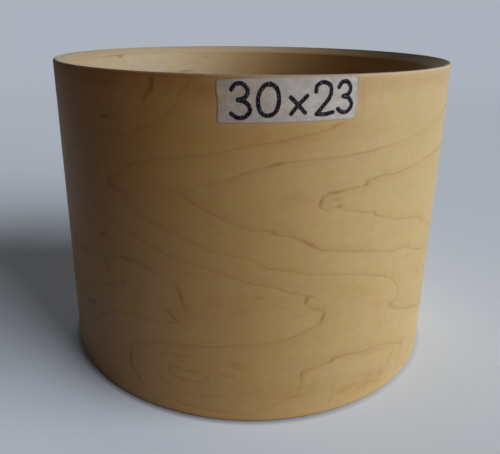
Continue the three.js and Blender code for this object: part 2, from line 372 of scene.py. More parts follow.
class Tree:
    """The nodes of a material or the world. Most methods add nodes and give their output."""

    def __init__(self, owner):
        owner.use_nodes = True
        self.nodes = owner.node_tree.nodes
        self.links = owner.node_tree.links
        self.nodes.clear()
        self.colour = None
        self.strip = None  # where on its strip of wood or paper a place lies

    def add(self, kind, inputs=None, **settings):
        node = self.nodes.new("ShaderNode" + kind)
        for key, value in settings.items():
            setattr(node, key, value)
        for socket, value in (inputs or {}).items():
            self.feed(node.inputs[socket], value)
        return node

    def feed(self, socket, value):
        if isinstance(value, bpy.types.NodeSocket):
            self.links.new(value, socket)
        else:
            socket.default_value = (*value, 1) if socket.type == "RGBA" else value

    def attribute(self, name, output="Vector"):
        return self.add("Attribute", attribute_name=name).outputs[output]

    def number(self, name):
        return self.attribute(name, "Fac")

    def parts(self, vector):
        return self.add("SeparateXYZ", {"Vector": vector}).outputs

    def math(self, operation, first, second=0, third=0):
        node = self.add("Math", {0: first, 1: second, 2: third}, operation=operation)
        return node.outputs[0]

    def times(self, first, second):
        return self.math("MULTIPLY", first, second)

    def noise(self, cell, detail=2, rough=0.5):
        """Noise of about 0.5 on the strip, with cells as long as cell says, in millimetres."""
        scale = [1 / (size * MM) for size in cell]
        place = self.add("VectorMath", {0: self.strip, 1: scale}, operation="MULTIPLY")
        inputs = {"Vector": place.outputs[0], "Scale": 1, "Detail": detail, "Roughness": rough}
        return self.add("TexNoise", inputs).outputs["Fac"]

    def span(self, value, low, high, start=0, end=1, curve="LINEAR"):
        """What runs from start to end while the value runs from low to high."""
        inputs = {"Value": value, "From Min": low, "From Max": high, "To Min": start, "To Max": end}
        node = self.add("MapRange", inputs, interpolation_type=curve)
        return node.outputs["Result"]

    def ease(self, value, low, high, start=0, end=1):
        return self.span(value, low, high, start, end, "SMOOTHSTEP")

    def mix(self, share, first, second, blend="MIX"):
        inputs = {0: share, 6: first, 7: second}
        node = self.add("Mix", inputs, data_type="RGBA", blend_type=blend)
        return node.outputs[2]

    def tint(self, colour, share, by):
        """The colour multiplied by another, as far as the share says."""
        return self.mix(share, colour, by, "MULTIPLY")

    def paint(self, share, by):
        self.colour = self.tint(self.colour, share, by)

    def bump(self, height, distance, strength, under=None):
        inputs = {"Height": height, "Distance": distance, "Strength": strength}
        if under is not None:
            inputs["Normal"] = under
        return self.add("Bump", inputs).outputs["Normal"]

    def finish(self, roughness, normal, shine, coat=0):
        shader = self.add("BsdfPrincipled", {
            "Base Color": self.colour,
            "Roughness": roughness,
            "Normal": normal,
            "Specular IOR Level": shine,
            "Coat Weight": coat,
            "Coat Roughness": COAT_ROUGHNESS,
            "Coat IOR": COAT_IOR,
        })
        self.add("OutputMaterial", {"Surface": shader.outputs[0]})


# The wood's materials

FACE_COLOUR = (0.556, 0.412, 0.19)
INNER_COLOUR = (0.425, 0.365, 0.245)
CUT_COLOUR = (0.345, 0.282, 0.188)
RIM_COLOUR = (0.565, 0.45, 0.34)
CROSS_COLOUR = (0.32, 0.262, 0.182)
LINE_TINT = (0.86, 0.8, 0.75)
HALO_TINT = (0.95, 0.925, 0.89)
# The next two tints give warmer tone, and painted shade where their patches lie on the shaded sides
FACE_WARMTH_AND_SHADE = (0.86, 0.64, 0.38)
INNER_WARMTH_AND_SHADE = (1.4, 0.87, 0.46)
BEVEL_PAINTED_LIGHT = (1.5, 1.38, 1.26)
RED_TINT = (0.88, 0.68, 0.52)
DARK_TINT = (0.5, 0.4, 0.34)
PALE_TINT = (1.04, 1.07, 1.15)
FLECK_TINT = (0.8, 0.74, 0.66)
CLOUD_TINT = (1, 0.95, 0.86)
FIBRE_TINT = (0.9, 0.87, 0.82)
CURL_TINT = (0.93, 0.91, 0.88)
GRAIN_TINT = (0.88, 0.84, 0.78)
EDGE_TINT = (0.86, 0.81, 0.74)
MOTTLE_TINT = (0.945, 0.915, 0.845)
YELLOW_TINT = (0.97, 1.025, 0.87)
PINK_TINT = (1.03, 0.97, 1.14)
FACE_SHINE = 0.3
FACE_COAT = 0.35
CUT_SHINE = 0.12


def veneer_face(name, base, warm_and_shade_tint, cut_base, coat=0, cut_by_rim=False):
    """Flat-cut maple: growth lines, their halo, fibres, flecks and stains, with warmth and painted
    shade laid over them from the piece's shares. What shows as cut is set by the depth below the outer
    face, or else by the piece's own rim."""
    material = bpy.data.materials.new(name)
    tree = Tree(material)
    tree.strip = tree.attribute("strip")
    growth, slope, strength = tree.parts(tree.attribute("figure"))
    dark, red, pale = tree.parts(tree.attribute("marks"))
    inset = tree.parts(tree.strip)[2]

    # The lines, where the growth level is a whole number
    sway = tree.span(tree.noise((9, 6, 6)), 0, 1, -0.7, 0.7)
    teeth = tree.span(tree.noise((2.6, 1.5, 1.5)), 0, 1, -0.6, 0.6)
    wander = tree.math("ADD", sway, teeth)
    level = tree.math("MULTIPLY_ADD", wander, slope, growth)
    offset = tree.math("FRACT", tree.math("ADD", level, 0.5))
    side = tree.math("SUBTRACT", offset, 0.5)
    reach = tree.math("DIVIDE", side, tree.math("MAXIMUM", slope, 0.03))
    distance = tree.math("ABSOLUTE", reach)
    blur = tree.span(tree.noise((30, 16, 16)), 0.3, 0.7, 0.55, 1.1)
    line = tree.ease(tree.math("DIVIDE", distance, blur), 0.15, 1, 1, 0)
    halo = tree.times(tree.ease(reach, 0, 7, 1, 0), tree.ease(reach, -2, 0))
    patchy = tree.span(tree.noise((38, 14, 14)), 0.3, 0.7, 0.55, 1.15)
    boldness = tree.times(strength, patchy)

    # The wood between them
    cloud = tree.noise((70, 26, 26), 3)
    tree.colour = tree.mix(cloud, shaded(base, 0.93), shaded(base, 1.07))
    warmth_and_shade = tree.span(tree.noise((110, 40, 40)), 0.35, 0.65)
    tree.paint(tree.times(warmth_and_shade, 0.35), CLOUD_TINT)
    fibres = tree.noise((26, 0.9, 0.9), 4, 0.6)
    tree.paint(tree.span(fibres, 0.35, 0.7, 0, 0.28), FIBRE_TINT)
    curl = tree.noise((5.5, 48, 48))
    tree.paint(tree.span(curl, 0.4, 0.7, 0, 0.3), CURL_TINT)
    pores = tree.ease(tree.noise((3.2, 0.16, 0.16), 1), 0.64, 0.74)
    tree.paint(tree.times(pores, 0.45), FLECK_TINT)

    mottle = tree.span(tree.noise((8, 4.5, 4.5), 4, 0.65), 0.32, 0.68)
    tree.paint(mottle, MOTTLE_TINT)
    hue = tree.span(tree.noise((16, 8, 8), 4, 0.75), 0.3, 0.7)
    tree.paint(1, tree.mix(hue, YELLOW_TINT, PINK_TINT))

    # The growth lines over it
    tree.paint(tree.times(halo, boldness), HALO_TINT)
    tree.paint(tree.times(line, boldness), LINE_TINT)

    # The cut rim, where the veneer's thickness shows
    if cut_by_rim:
        cut = tree.ease(tree.number("rim"), 0.1, 0.4)
    else:
        cut = tree.ease(inset, 0.02 * MM, 0.16 * MM)
    grain = tree.noise((9, 9, 0.35), 3)
    cut_colour = tree.tint(cut_base, tree.span(grain, 0.35, 0.7, 0, 0.6), GRAIN_TINT)
    tree.colour = tree.mix(cut, tree.colour, cut_colour)

    # Stains with painted shade among them, then warmth with painted shade, over face and rim
    ragged = tree.span(tree.noise((2.6, 1.6, 1.6), 3), 0.3, 0.7, 0.65, 1.05)
    tree.paint(tree.times(red, ragged), RED_TINT)
    tree.paint(tree.times(dark, ragged), DARK_TINT)
    tree.paint(pale, PALE_TINT)
    # Warmer tone, and painted shade where the face is turned from the key lamp
    tree.paint(tree.number("warmth_and_shade"), warm_and_shade_tint)

    rough = tree.span(fibres, 0.3, 0.7, 0.58, 0.68)
    rough = tree.math("MULTIPLY_ADD", cut, 0.15, rough)
    fine = tree.bump(fibres, 0.03 * MM, 0.35)
    normal = tree.bump(pores, -0.02 * MM, 0.4, fine)
    coat = tree.math("MULTIPLY_ADD", cut, -coat, coat) if coat else 0
    tree.finish(rough, normal, FACE_SHINE, coat)
    return material


def cut_edge(name, base, end_grain):
    """A ply's edge at the rim: long fibres where it runs round, pores where it stands upright."""
    material = bpy.data.materials.new(name)
    tree = Tree(material)
    tree.strip = tree.attribute("strip")
    if end_grain:
        fibres = tree.noise((0.35, 3, 0.5), 3, 0.65)
    else:
        fibres = tree.noise((14, 0.5, 0.3), 3, 0.6)
    blotches = tree.noise((22, 22, 6))
    tree.colour = tree.mix(blotches, shaded(base, 0.88), shaded(base, 1.12))
    tree.paint(tree.span(fibres, 0.3, 0.7), EDGE_TINT)
    # Painted light on the bevel, as far as the piece's share says
    tree.paint(tree.number("warmth_and_shade"), BEVEL_PAINTED_LIGHT)
    rough = tree.span(fibres, 0.3, 0.7, 0.74, 0.84)
    normal = tree.bump(fibres, 0.04 * MM, 0.4)
    tree.finish(rough, normal, CUT_SHINE)
    return material


WOODS = {
    "maple_outer_face": veneer_face(
        "outer_veneer", FACE_COLOUR, FACE_WARMTH_AND_SHADE, RIM_COLOUR, coat=FACE_COAT),
    "maple_inner_face": veneer_face(
        "inner_veneer", INNER_COLOUR, INNER_WARMTH_AND_SHADE, CUT_COLOUR, cut_by_rim=True),
    "maple_core": cut_edge("core_edge", CUT_COLOUR, end_grain=False),
    "maple_cross_band": cut_edge("cross_band_edge", CROSS_COLOUR, end_grain=True),
}


# The fields that the veneers' figure is drawn from


NO_DISTANCE = 1e-12  # so that the logarithm holds at a point itself


def plate_kernel(places, points):
    squares = ((places[:, None, :] - points[None, :, :]) ** 2).sum(-1)
    return 0.5 * squares * np.log(squares + NO_DISTANCE)


class GrowthPlate:
    """A smooth field through given levels, as a bent thin plate takes them up."""

    SCALE = 100  # millimetres, which keeps the sums near 1
    GIVE = 2e-5  # how freely the plate passes beside a level
    AT_ONCE = 8000  # places worked out together, to spare memory

    def __init__(self, points, levels):
        self.points = np.array(points, float) / self.SCALE
        count = len(levels)
        sums = np.zeros((count + 3, count + 3))
        sums[:count, :count] = plate_kernel(self.points, self.points) + self.GIVE * np.eye(count)
        sums[:count, count] = 1
        sums[:count, count + 1:] = self.points
        sums[count:, :count] = sums[:count, count:].T
        self.weights = np.linalg.solve(sums, np.concatenate([levels, np.zeros(3)]))

    def at(self, arcs, heights):
        places = np.stack([arcs, heights], -1) / self.SCALE
        out = []
        for some in np.array_split(places, max(1, len(places) // self.AT_ONCE)):
            bent = plate_kernel(some, self.points) @ self.weights[:-3]
            out.append(bent + self.weights[-3] + some @ self.weights[-2:])
        return np.concatenate(out)


def ripple(along, length, across, bend, bend_length):
    """Waves along one way, bent by slower ones across it."""
    return np.sin(along / length + bend * np.sin(across / bend_length))


def hill(along, up, long, high):
    """One at the middle, falling away softly."""
    return np.exp(-((along / long) ** 2 + (up / high) ** 2))


def outer_growth():
    points, levels = [], []
    for level, _, line in GROWTH_LINES:
        points += line
        levels += [level] * len(line)
    for arc, height, level in GROWTH_BETWEEN:
        points.append((arc, height))
        levels.append(level)
    for arc, row in GROWTH_BEHIND.items():
        for height, level in zip(BEHIND_HEIGHTS, row):
            points.append((arc, height))
            levels.append(level)
    plate = GrowthPlate(points, levels)

    def field(arcs, heights):
        behind = np.clip((np.abs(arcs) - BEHIND_FROM) / BEHIND_FADE, 0, 1)
        waver = 0.16 * ripple(arcs, 23, heights, 1.3, 31)
        waver += 0.1 * ripple(heights, 13, arcs, 1.7, 47)
        waver += 0.07 * ripple(arcs, 8, heights, 2.3, 11) * np.sin(heights / 19 + arcs / 60)
        waver += 0.04 * ripple(heights, 4.5, arcs, 2.6, 9) * np.sin(arcs / 31)
        return plate.at(arcs, heights) + behind * waver

    return field


def inner_growth(arcs, heights):
    level = heights / INNER_RING_SPACING + 0.2 * np.sin(arcs / 60)
    for arc, height, long, high, rings in INNER_HILLS:
        level = level + rings * hill(arcs - arc, heights - height, long, high)
    level += 0.14 * ripple(arcs, 19, heights, 1.5, 27)
    level += 0.08 * ripple(heights, 9, arcs, 1.9, 33)
    return level


def line_strength(arcs, heights):
    """How dark the nearest growth line is, fading between lines."""
    total = np.full(len(arcs), FAINTEST)
    mixed = total * BEHIND_STRENGTH
    for _, strength, line in GROWTH_LINES:
        for arc, height in line:
            near = np.exp(-((arcs - arc) ** 2 + (heights - height) ** 2) / (2 * LINE_REACH**2))
            total += near
            mixed += near * strength
    return mixed / total


def warm_and_shade_shares(patches, arcs, heights):
    turn = math.tau * OUTER_RADIUS / MM
    shares = np.zeros(len(arcs))
    for arc, height, long, high, amount in patches:
        along = (arcs - arc + turn / 2) % turn - turn / 2  # so that a patch goes on past the seam
        shares += amount * hill(along, heights - height, long, high)
    return shares


def turned(along, up, degrees):
    cos, sin = math.cos(math.radians(degrees)), math.sin(math.radians(degrees))
    return along * cos - up * sin, along * sin + up * cos


def covered(arcs, heights, arc, height, long, high, tilt):
    """How far one mark covers each place, from 0 to 1."""
    along, across = turned(arcs - arc, heights - height, -tilt)
    cover = np.exp(-((along / long) ** 2 + (across / high) ** 2) ** MARK_STEEPNESS)
    return cover[:, None]


def mark_shares(marks, pale_marks, arcs, heights):
    """How dark, red and pale the stains, and the painted shade among them, make each place."""
    shares = np.zeros((len(arcs), 3))
    for *mark, dark, red in marks:
        shares = np.maximum(shares, covered(arcs, heights, *mark) * (dark, red, 0))
    for *mark, pale in pale_marks:
        shares = np.maximum(shares, covered(arcs, heights, *mark) * (0, 0, pale))
    return shares


def figure_of(field, strength, arcs, heights):
    """A field's level, its slope and how dark its lines are, at each place."""
    level = field(arcs, heights)
    across = (field(arcs + SLOPE_STEP, heights) - level) / SLOPE_STEP
    up = (field(arcs, heights + SLOPE_STEP) - level) / SLOPE_STEP
    return np.stack([level, np.hypot(across, up), strength], -1)


# The veneers


def edge_drop(inset):
    """How far the rim lies below the shell's full depth, at a distance in from the outer face."""
    if inset < ROUNDOVER:
        return ROUNDOVER - math.sqrt(ROUNDOVER**2 - (ROUNDOVER - inset) ** 2)
    past = inset - ROUNDOVER - LAND
    return (past + math.hypot(past, RIDGE_WEAR)) / 2 * BEVEL_SLOPE


def ply_section(index):
    """The section as (inset, height) points: up outside, over the top, down inside and back."""
    outer, inner = index * PLY_PITCH, index * PLY_PITCH + PLY_THICKNESS
    steps = np.arange(RIM_STEPS + 1) / RIM_STEPS
    if index == 0:
        steps = 1 - np.cos(steps * math.pi / 2)
    insets = outer + (inner - outer) * steps
    top = [(inset, SHELL_DEPTH - edge_drop(inset)) for inset in insets]
    bottom = [(inset, edge_drop(inset)) for inset in insets[::-1]]
    outside_rows = FACE_ROWS if index == 0 else 1
    inside_rows = FACE_ROWS if index == len(PLY_NODES) - 1 else 1
    outside = np.linspace(bottom[-1][1], top[0][1], outside_rows + 1)[1:-1]
    inside = np.linspace(top[-1][1], bottom[0][1], inside_rows + 1)[1:-1]
    section = [(outer, height) for height in outside] + top
    section += [(inner, height) for height in inside] + bottom
    return np.array(section)


def section_shares(section, index):
    """Where each edge of the section starts and ends in the baked picture, from 0 to 1, and
    the length that 1 stands for."""
    ahead = np.roll(section, -1, axis=0)
    lengths = np.linalg.norm(ahead - section, axis=1)
    upright = np.abs(ahead[:, 0] - section[:, 0]) < SAME_PLACE
    outside = upright & (section[:, 0] < section[:, 0].mean())
    hidden = outside if index > 0 else np.zeros(len(section), bool)
    if index < len(PLY_NODES) - 1:
        hidden = hidden | (upright & ~outside)
    lengths = np.where(hidden, lengths * HIDDEN_SHARE, lengths)
    ends = np.cumsum(lengths)
    return (ends - lengths) / ends[-1], ends / ends[-1], ends[-1]


def ring_faces(columns, count):
    column, point = np.meshgrid(np.arange(columns), np.arange(count), indexing="ij")
    after = (point + 1) % count
    quads = np.stack([
        column * count + point,
        (column + 1) * count + point,
        (column + 1) * count + after,
        column * count + after,
    ], -1)
    return quads.reshape(-1, 4)


def mesh_object(name, places, quads, caps, material):
    mesh = bpy.data.meshes.new(name)
    faces = [tuple(face) for face in quads.tolist()] + caps
    mesh.from_pydata(places.tolist(), [], faces)
    mesh.polygons.foreach_set("use_smooth", [True] * len(mesh.polygons))
    mesh.set_sharp_from_angle(angle=SHARP_ANGLE)
    mesh.materials.append(material)
    piece = bpy.data.objects.new(name, mesh)
    put_in_scene(piece)
    return piece


def give(piece, name, values):
    """Lays one number or vector per point on the piece, for its material."""
    values = np.asarray(values, np.float32)
    kind = "FLOAT" if values.ndim == 1 else "FLOAT_VECTOR"
    layer = piece.data.attributes.new(name, kind, "POINT")
    layer.data.foreach_set("value" if kind == "FLOAT" else "vector", values.ravel())


def lay_out(piece, turns, starts, ends, section_length, inset_count):
    """The map for baking: the strip cut into rows of like length, one above another."""
    places = np.radians(turns - turns[0]) * OUTER_RADIUS
    rows = max(1, round(math.sqrt(places[-1] / section_length)))
    cuts = np.searchsorted(places, places[-1] * np.arange(rows + 1) / rows)
    row_length = np.diff(places[cuts]).max()
    columns, count = len(turns) - 1, len(starts)
    column = np.repeat(np.arange(columns), count)
    point = np.tile(np.arange(count), columns)
    row = np.searchsorted(cuts, column, side="right") - 1
    left = (places[column] - places[cuts[row]]) / row_length
    right = (places[column + 1] - places[cuts[row]]) / row_length
    low, high = (row + starts[point]) / rows, (row + ends[point]) / rows
    keep = 1 - 2 * BAKE_MARGIN
    u = BAKE_MARGIN + keep * np.stack([left, right, right, left], -1)
    v = BAKE_MARGIN + keep * np.stack([low, low, high, high], -1)
    corners = np.stack([u, v], -1).reshape(-1, 2)
    shown = np.concatenate([starts, ends[-1:]])[:count] * keep / rows
    start_cap = np.stack([np.full(count, BAKE_MARGIN / 4), BAKE_MARGIN + shown], -1)
    end_cap = np.stack([np.full(count, 1 - BAKE_MARGIN / 4), BAKE_MARGIN + shown[::-1]], -1)
    start_cap[:inset_count, 0] = BAKE_MARGIN / 2
    end_cap[:inset_count, 0] = 1 - BAKE_MARGIN / 2
    corners = np.concatenate([corners, start_cap, end_cap])
    layer = piece.data.uv_layers.new(name="OFBake")
    layer.data.foreach_set("uv", corners.astype(np.float32).ravel())


def slot_of(node):
    """The material slot: a node is named ply, its number and its kind of veneer."""
    return "maple_" + node.split("_", 2)[2]


def column_turns(slot, start, end):
    """The degrees round from +X at which a ply's columns of points stand."""
    if slot != "maple_outer_face":
        columns = INNER_COLUMNS if slot == "maple_inner_face" else CORE_COLUMNS
        return np.linspace(start, end, columns + 1)
    front_start, front_end = FRONT - FRONT_SPAN, FRONT + FRONT_SPAN
    before = round(OTHER_COLUMNS * (front_start - start) / (end - start - 2 * FRONT_SPAN))
    return np.concatenate([
        np.linspace(start, front_start, before + 1)[:-1],
        np.linspace(front_start, front_end, FRONT_COLUMNS + 1),
        np.linspace(front_end, end, OTHER_COLUMNS - before + 1)[1:],
    ])


def make_veneer(index, node):
    """A ply: its section turned round the axis from one side of its seam to the other."""
    section = ply_section(index)
    slot = slot_of(node)
    is_face = slot in ("maple_outer_face", "maple_inner_face")
    seam = (FIRST_SEAM + index * SEAM_STAGGER) % 360
    half_gap = math.degrees(SEAM_GAP / 2 / (OUTER_RADIUS - section[:, 0].mean()))
    turns = column_turns(slot, seam + half_gap, seam + 360 - half_gap)
    segments = len(turns) - 1
    radii = OUTER_RADIUS - section[:, 0]
    angles = np.radians(turns)
    places = np.stack([
        np.outer(np.cos(angles), radii),
        np.outer(np.sin(angles), radii),
        np.tile(section[:, 1], (len(angles), 1)),
    ], -1).reshape(-1, 3)
    count = len(section)
    caps = [tuple(range(count)), tuple(range(segments * count, (segments + 1) * count))[::-1]]
    name = "veneer" + node.removeprefix("ply")
    piece = mesh_object(name, places, ring_faces(segments, count), caps, WOODS[slot])

    is_outer = slot == "maple_outer_face"
    middle = FRONT if is_outer else BACK
    arcs = np.repeat(np.radians(turns - middle) * OUTER_RADIUS, count)
    heights = np.tile(section[:, 1], len(turns))
    insets = np.tile(section[:, 0], len(turns))
    grain_shift = 0 if is_face else index * GRAIN_SHIFT
    give(piece, "strip", np.stack([arcs, heights, insets + grain_shift], -1))
    where = (arcs / MM, heights / MM)
    if is_outer:
        give(piece, "warmth_and_shade", warm_and_shade_shares(OUTER_WARM_AND_SHADED_PATCHES, *where))
        give(piece, "figure", figure_of(outer_growth(), line_strength(*where), *where))
        give(piece, "marks", mark_shares(OUTER_MARKS, OUTER_PALE_MARKS, *where))
    elif is_face:
        strength = np.full(len(arcs), INNER_LINE_STRENGTH)
        give(piece, "warmth_and_shade", warm_and_shade_shares(INNER_WARM_AND_SHADED_PATCHES, *where))
        give(piece, "figure", figure_of(inner_growth, strength, *where))
        give(piece, "marks", mark_shares(INNER_MARKS, INNER_PALE_MARKS, *where))
        give(piece, "rim", (insets < section[:, 0].max() - SAME_PLACE).astype(float))
    else:
        # Painted light on the bevel plies by stretch of the rim, and a little more from ply to ply
        # inwards
        warmth_and_shade = warm_and_shade_shares(BEVEL_LIGHT_PATCHES, *where) + BEVEL_GAIN * (index - len(PLY_NODES) / 2)
        give(piece, "warmth_and_shade", np.clip(warmth_and_shade, 0, 1))
    starts, ends, section_length = section_shares(section, index)
    lay_out(piece, turns, starts, ends, section_length, count // 2)
    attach(piece, "root")
    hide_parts(node)


for ply_index, ply_node in enumerate(PLY_NODES):
    make_veneer(ply_index, ply_node)


# The tape

# The number on it, in centimetres. Each figure's strokes are shares of its box. The writing
# gives each box's left and lower edges from the tape's middle, its width and its height.
FIGURES = {
    "3": [[(0.04, 0.84), (0.24, 0.99), (0.62, 1), (0.88, 0.8), (0.74, 0.6), (0.36, 0.53),
           (0.76, 0.46), (1, 0.24), (0.74, 0.02), (0.32, 0), (0, 0.12)]],
    "0": [[(0.62, 0.97), (0.36, 0.97), (0.1, 0.76), (0, 0.44), (0.14, 0.1), (0.5, 0),
           (0.86, 0.14), (1, 0.5), (0.9, 0.84), (0.62, 0.99), (0.44, 0.98)]],
    "x": [[(0.04, 0), (0.4, 0.42), (1, 1)], [(0.02, 0.94), (0.46, 0.5), (0.88, 0.04)]],
    "2": [[(0, 0.72), (0.08, 0.92), (0.46, 1), (0.84, 0.86), (0.82, 0.56), (0.42, 0.26),
           (0.06, 0.02)], [(0.04, 0.02), (0.5, 0), (1, 0.05)]],
}
WRITING = [
    ("3", -32, -8.8, 10.5, 18.2), ("0", -17.2, -8, 11.5, 17.2), ("x", 0.6, -7.4, 9.4, 9.6),
    ("2", 15, -8.4, 10.2, 17.6), ("3", 28.2, -7.8, 8.6, 16.6),
]
STROKE_HALF_WIDTH = 1.25  # millimetres, as in the writing
STROKE_STEPS = 10
TAPE_DARK = (0.475, 0.425, 0.38)
TAPE_PALE = (0.6, 0.575, 0.555)
EDGE_BAND = 0.5 * MM  # how far in from the tape's edges the paper is darkened by painted shade
FOLD_WIDTH = 0.9 * MM  # the darkened fold at the top of its right end, painted shade in the crease
FOLD_DARKNESS = 1.7
LEFTWARD_TINT = (0.88, 0.83, 0.79)
DAMP_TINT = (1.08, 0.9, 0.72)
CREPE_TINT = (0.86, 0.84, 0.82)
SPECK_TINT = (1.14, 1.14, 1.14)
# Painted shade along the tape's edges and fold
EDGE_SHADE_TINT = (0.62, 0.57, 0.52)
INK_COLOUR = (0.006, 0.005, 0.007)
WORN_INK_COLOUR = (0.1, 0.09, 0.1)
PAPER_ROUGHNESS = 0.9
INK_ROUGHNESS = 0.7
PAPER_SHINE = 0.1
FAR_FROM_INK = 99
BACK_INK_DEPTH = -9  # on the glued side, which has no ink


def smooth_stroke(points):
    """Points along a curve that passes through the given ones."""
    points = [np.array(point) for point in points]
    if len(points) < 3:
        return points
    ends = [2 * points[0] - points[1]] + points + [2 * points[-1] - points[-2]]
    out = []
    for before, start, end, after in zip(ends, ends[1:], ends[2:], ends[3:]):
        for step in range(STROKE_STEPS):
            t = step / STROKE_STEPS
            out.append(0.5 * (
                2 * start + (end - before) * t
                + (2 * before - 5 * start + 4 * end - after) * t**2
                + (3 * start - before - 3 * end + after) * t**3
            ))
    return out + [points[-1]]


def ink_depth(along, across):
    """How far inside a stroke each place is, in millimetres; below zero is bare tape."""
    nearest = np.full(along.shape, FAR_FROM_INK)
    for figure, left, low, width, height in WRITING:
        for stroke in FIGURES[figure]:
            path = smooth_stroke([(left + x * width, low + y * height) for x, y in stroke])
            for start, end in zip(path, path[1:]):
                line = end - start
                right, up = along - start[0], across - start[1]
                share = np.clip((right * line[0] + up * line[1]) / (line @ line), 0, 1)
                gap = np.hypot(right - share * line[0], up - share * line[1])
                nearest = np.minimum(nearest, gap)
    return STROKE_HALF_WIDTH - nearest


def tape_material():
    """Crepe paper, thin enough to be mottled by the wood under it, with marker ink and painted shade
    along its edges and fold.
    """
    material = bpy.data.materials.new("paper_tape")
    tree = Tree(material)
    tree.strip = tree.attribute("strip")
    ink = tree.number("ink")
    edge = tree.number("edge")
    along = tree.parts(tree.strip)[0]
    cloud = tree.noise((9, 6, 6), 4, 0.6)
    tree.colour = tree.mix(tree.ease(cloud, 0.3, 0.7), TAPE_DARK, TAPE_PALE)
    leftwards = tree.ease(along, 10 * MM, -36 * MM)
    tree.paint(leftwards, LEFTWARD_TINT)
    damp = tree.ease(tree.noise((16, 11, 11), 3), 0.5, 0.66)
    damp = tree.times(damp, tree.span(leftwards, 0, 1, 0.25, 0.9))
    tree.paint(damp, DAMP_TINT)
    crepe = tree.noise((0.6, 4, 4), 3, 0.65)
    tree.paint(tree.span(crepe, 0.35, 0.7, 0, 0.6), CREPE_TINT)
    specks = tree.ease(tree.noise((0.9, 0.9, 0.9)), 0.62, 0.72)
    tree.paint(tree.times(specks, 0.5), SPECK_TINT)
    # Painted shade along the edges and the fold, made uneven
    edge_shade = tree.times(edge, tree.span(cloud, 0.3, 0.7, 0.3, 1))
    tree.paint(edge_shade, EDGE_SHADE_TINT)
    ragged = tree.span(tree.noise((0.5, 0.9, 0.9), 3), 0, 1, -0.45, 0.45)
    inked = tree.ease(tree.math("ADD", ink, ragged), -0.12, 0.16)
    gaps = tree.ease(tree.noise((0.9, 2, 2), 3, 0.7), 0.5, 0.64)
    tone = tree.mix(gaps, INK_COLOUR, WORN_INK_COLOUR)
    tree.colour = tree.mix(inked, tree.colour, tone)
    rough = tree.span(inked, 0, 1, PAPER_ROUGHNESS, INK_ROUGHNESS)
    normal = tree.bump(crepe, 0.05 * MM, 0.5)
    tree.finish(rough, normal, PAPER_SHINE)
    return material


# The torn ends: share of the width up from the bottom, share of the length outwards
LEFT_END = [(0.965, -0.001), (0.93, -0.005), (0.81, -0.001), (0.7, -0.004), (0.56, -0.01),
            (0.37, -0.011), (0.2, -0.006), (0, -0.003)]
RIGHT_END = [(0, -0.005), (0.09, -0.001), (0.17, 0.001), (0.27, 0.006), (0.39, 0.012),
             (0.47, 0.018), (0.53, 0.013), (0.61, 0.012), (0.76, 0.015), (0.92, 0.014),
             (1, -0.006)]
# The top edge: share of the length from the left end, share of the width upwards
TOP_EDGE = [(0, -0.035), (0.09, 0.006), (0.22, 0.026), (0.45, 0.034), (0.7, 0.026),
            (0.9, 0.012), (1, 0)]


def tape_faces():
    """The front's quads, the back's and those round the edge, over two like grids of points."""
    high = TAPE_ROWS + 1
    back = (TAPE_COLUMNS + 1) * high
    column, row = np.meshgrid(np.arange(TAPE_COLUMNS), np.arange(TAPE_ROWS), indexing="ij")
    corner = (column * high + row).ravel()
    beside = corner + high
    front = np.stack([corner, beside, beside + 1, corner + 1], -1)
    rim = [c * high for c in range(TAPE_COLUMNS)]
    rim += [TAPE_COLUMNS * high + r for r in range(TAPE_ROWS)]
    rim += [c * high + TAPE_ROWS for c in range(TAPE_COLUMNS, 0, -1)]
    rim += range(TAPE_ROWS, 0, -1)
    rim = np.array(rim)
    ahead = np.roll(rim, -1)
    edge = np.stack([rim, rim + back, ahead + back, ahead], -1)
    return np.concatenate([front, front[:, ::-1] + back, edge])


def make_tape():
    """The tape laid round the shell, with its torn ends, uneven top edge and crepe relief."""
    rows = np.linspace(0, 1, TAPE_ROWS + 1)
    left = np.interp(rows, *zip(*LEFT_END[::-1]))
    right = np.interp(rows, *zip(*RIGHT_END))
    columns = np.linspace(0, 1, TAPE_COLUMNS + 1)
    starts, ends = -0.5 - left, 0.5 + right
    along = (starts[None] + (ends - starts)[None] * columns[:, None]) * TAPE_LENGTH
    lift = np.interp(columns, *zip(*TOP_EDGE))[:, None] * rows**3
    across = (rows - 0.5 + lift) * TAPE_WIDTH
    arcs, rise = turned(along, across, TAPE_TILT)
    heights = SHELL_DEPTH - TAPE_BELOW_RIM - TAPE_WIDTH / 2 + rise
    turns = np.radians(TAPE_ANGLE) + arcs / OUTER_RADIUS
    along_mm, across_mm = along / MM, across / MM
    crepe = np.sin(along_mm * 5.1 + 2.2 * np.sin(across_mm * 0.33))
    crepe *= np.sin(along_mm * 1.3 + across_mm * 0.21)
    outer = OUTER_RADIUS + TAPE_LIFT + TAPE_THICKNESS + CREPE_DEPTH * crepe
    inner = np.full(outer.shape, OUTER_RADIUS + TAPE_LIFT)
    layers = []
    for radius in (outer, inner):
        layer = np.stack([radius * np.sin(turns), -radius * np.cos(turns), heights], -1)
        layers.append(layer.reshape(-1, 3))
    places = np.concatenate(layers)
    piece = mesh_object("masking_tape", places, tape_faces(), [], tape_material())
    flat = np.stack([along, across, np.zeros(along.shape)], -1).reshape(-1, 3)
    give(piece, "strip", np.concatenate([flat, flat]))
    to_end = np.minimum(columns, 1 - columns)[:, None] * TAPE_LENGTH
    to_side = np.minimum(rows, 1 - rows)[None] * TAPE_WIDTH
    edge = np.exp(-(np.minimum(to_end, to_side) / EDGE_BAND) ** 2)
    to_right = (1 - columns)[:, None] * TAPE_LENGTH
    fold = np.exp(-(to_right / FOLD_WIDTH) ** 2) * np.clip((rows - 0.5) * 4, 0, 1)[None]
    edge = np.maximum(edge, FOLD_DARKNESS * fold).ravel()
    give(piece, "edge", np.concatenate([edge, edge]))
    ink = ink_depth(along_mm.ravel(), across_mm.ravel())
    give(piece, "ink", np.concatenate([ink, np.full(len(ink), BACK_INK_DEPTH)]))
    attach(piece, "root")
    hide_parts(TAPE_NODE)


make_tape()


# The floor and the light

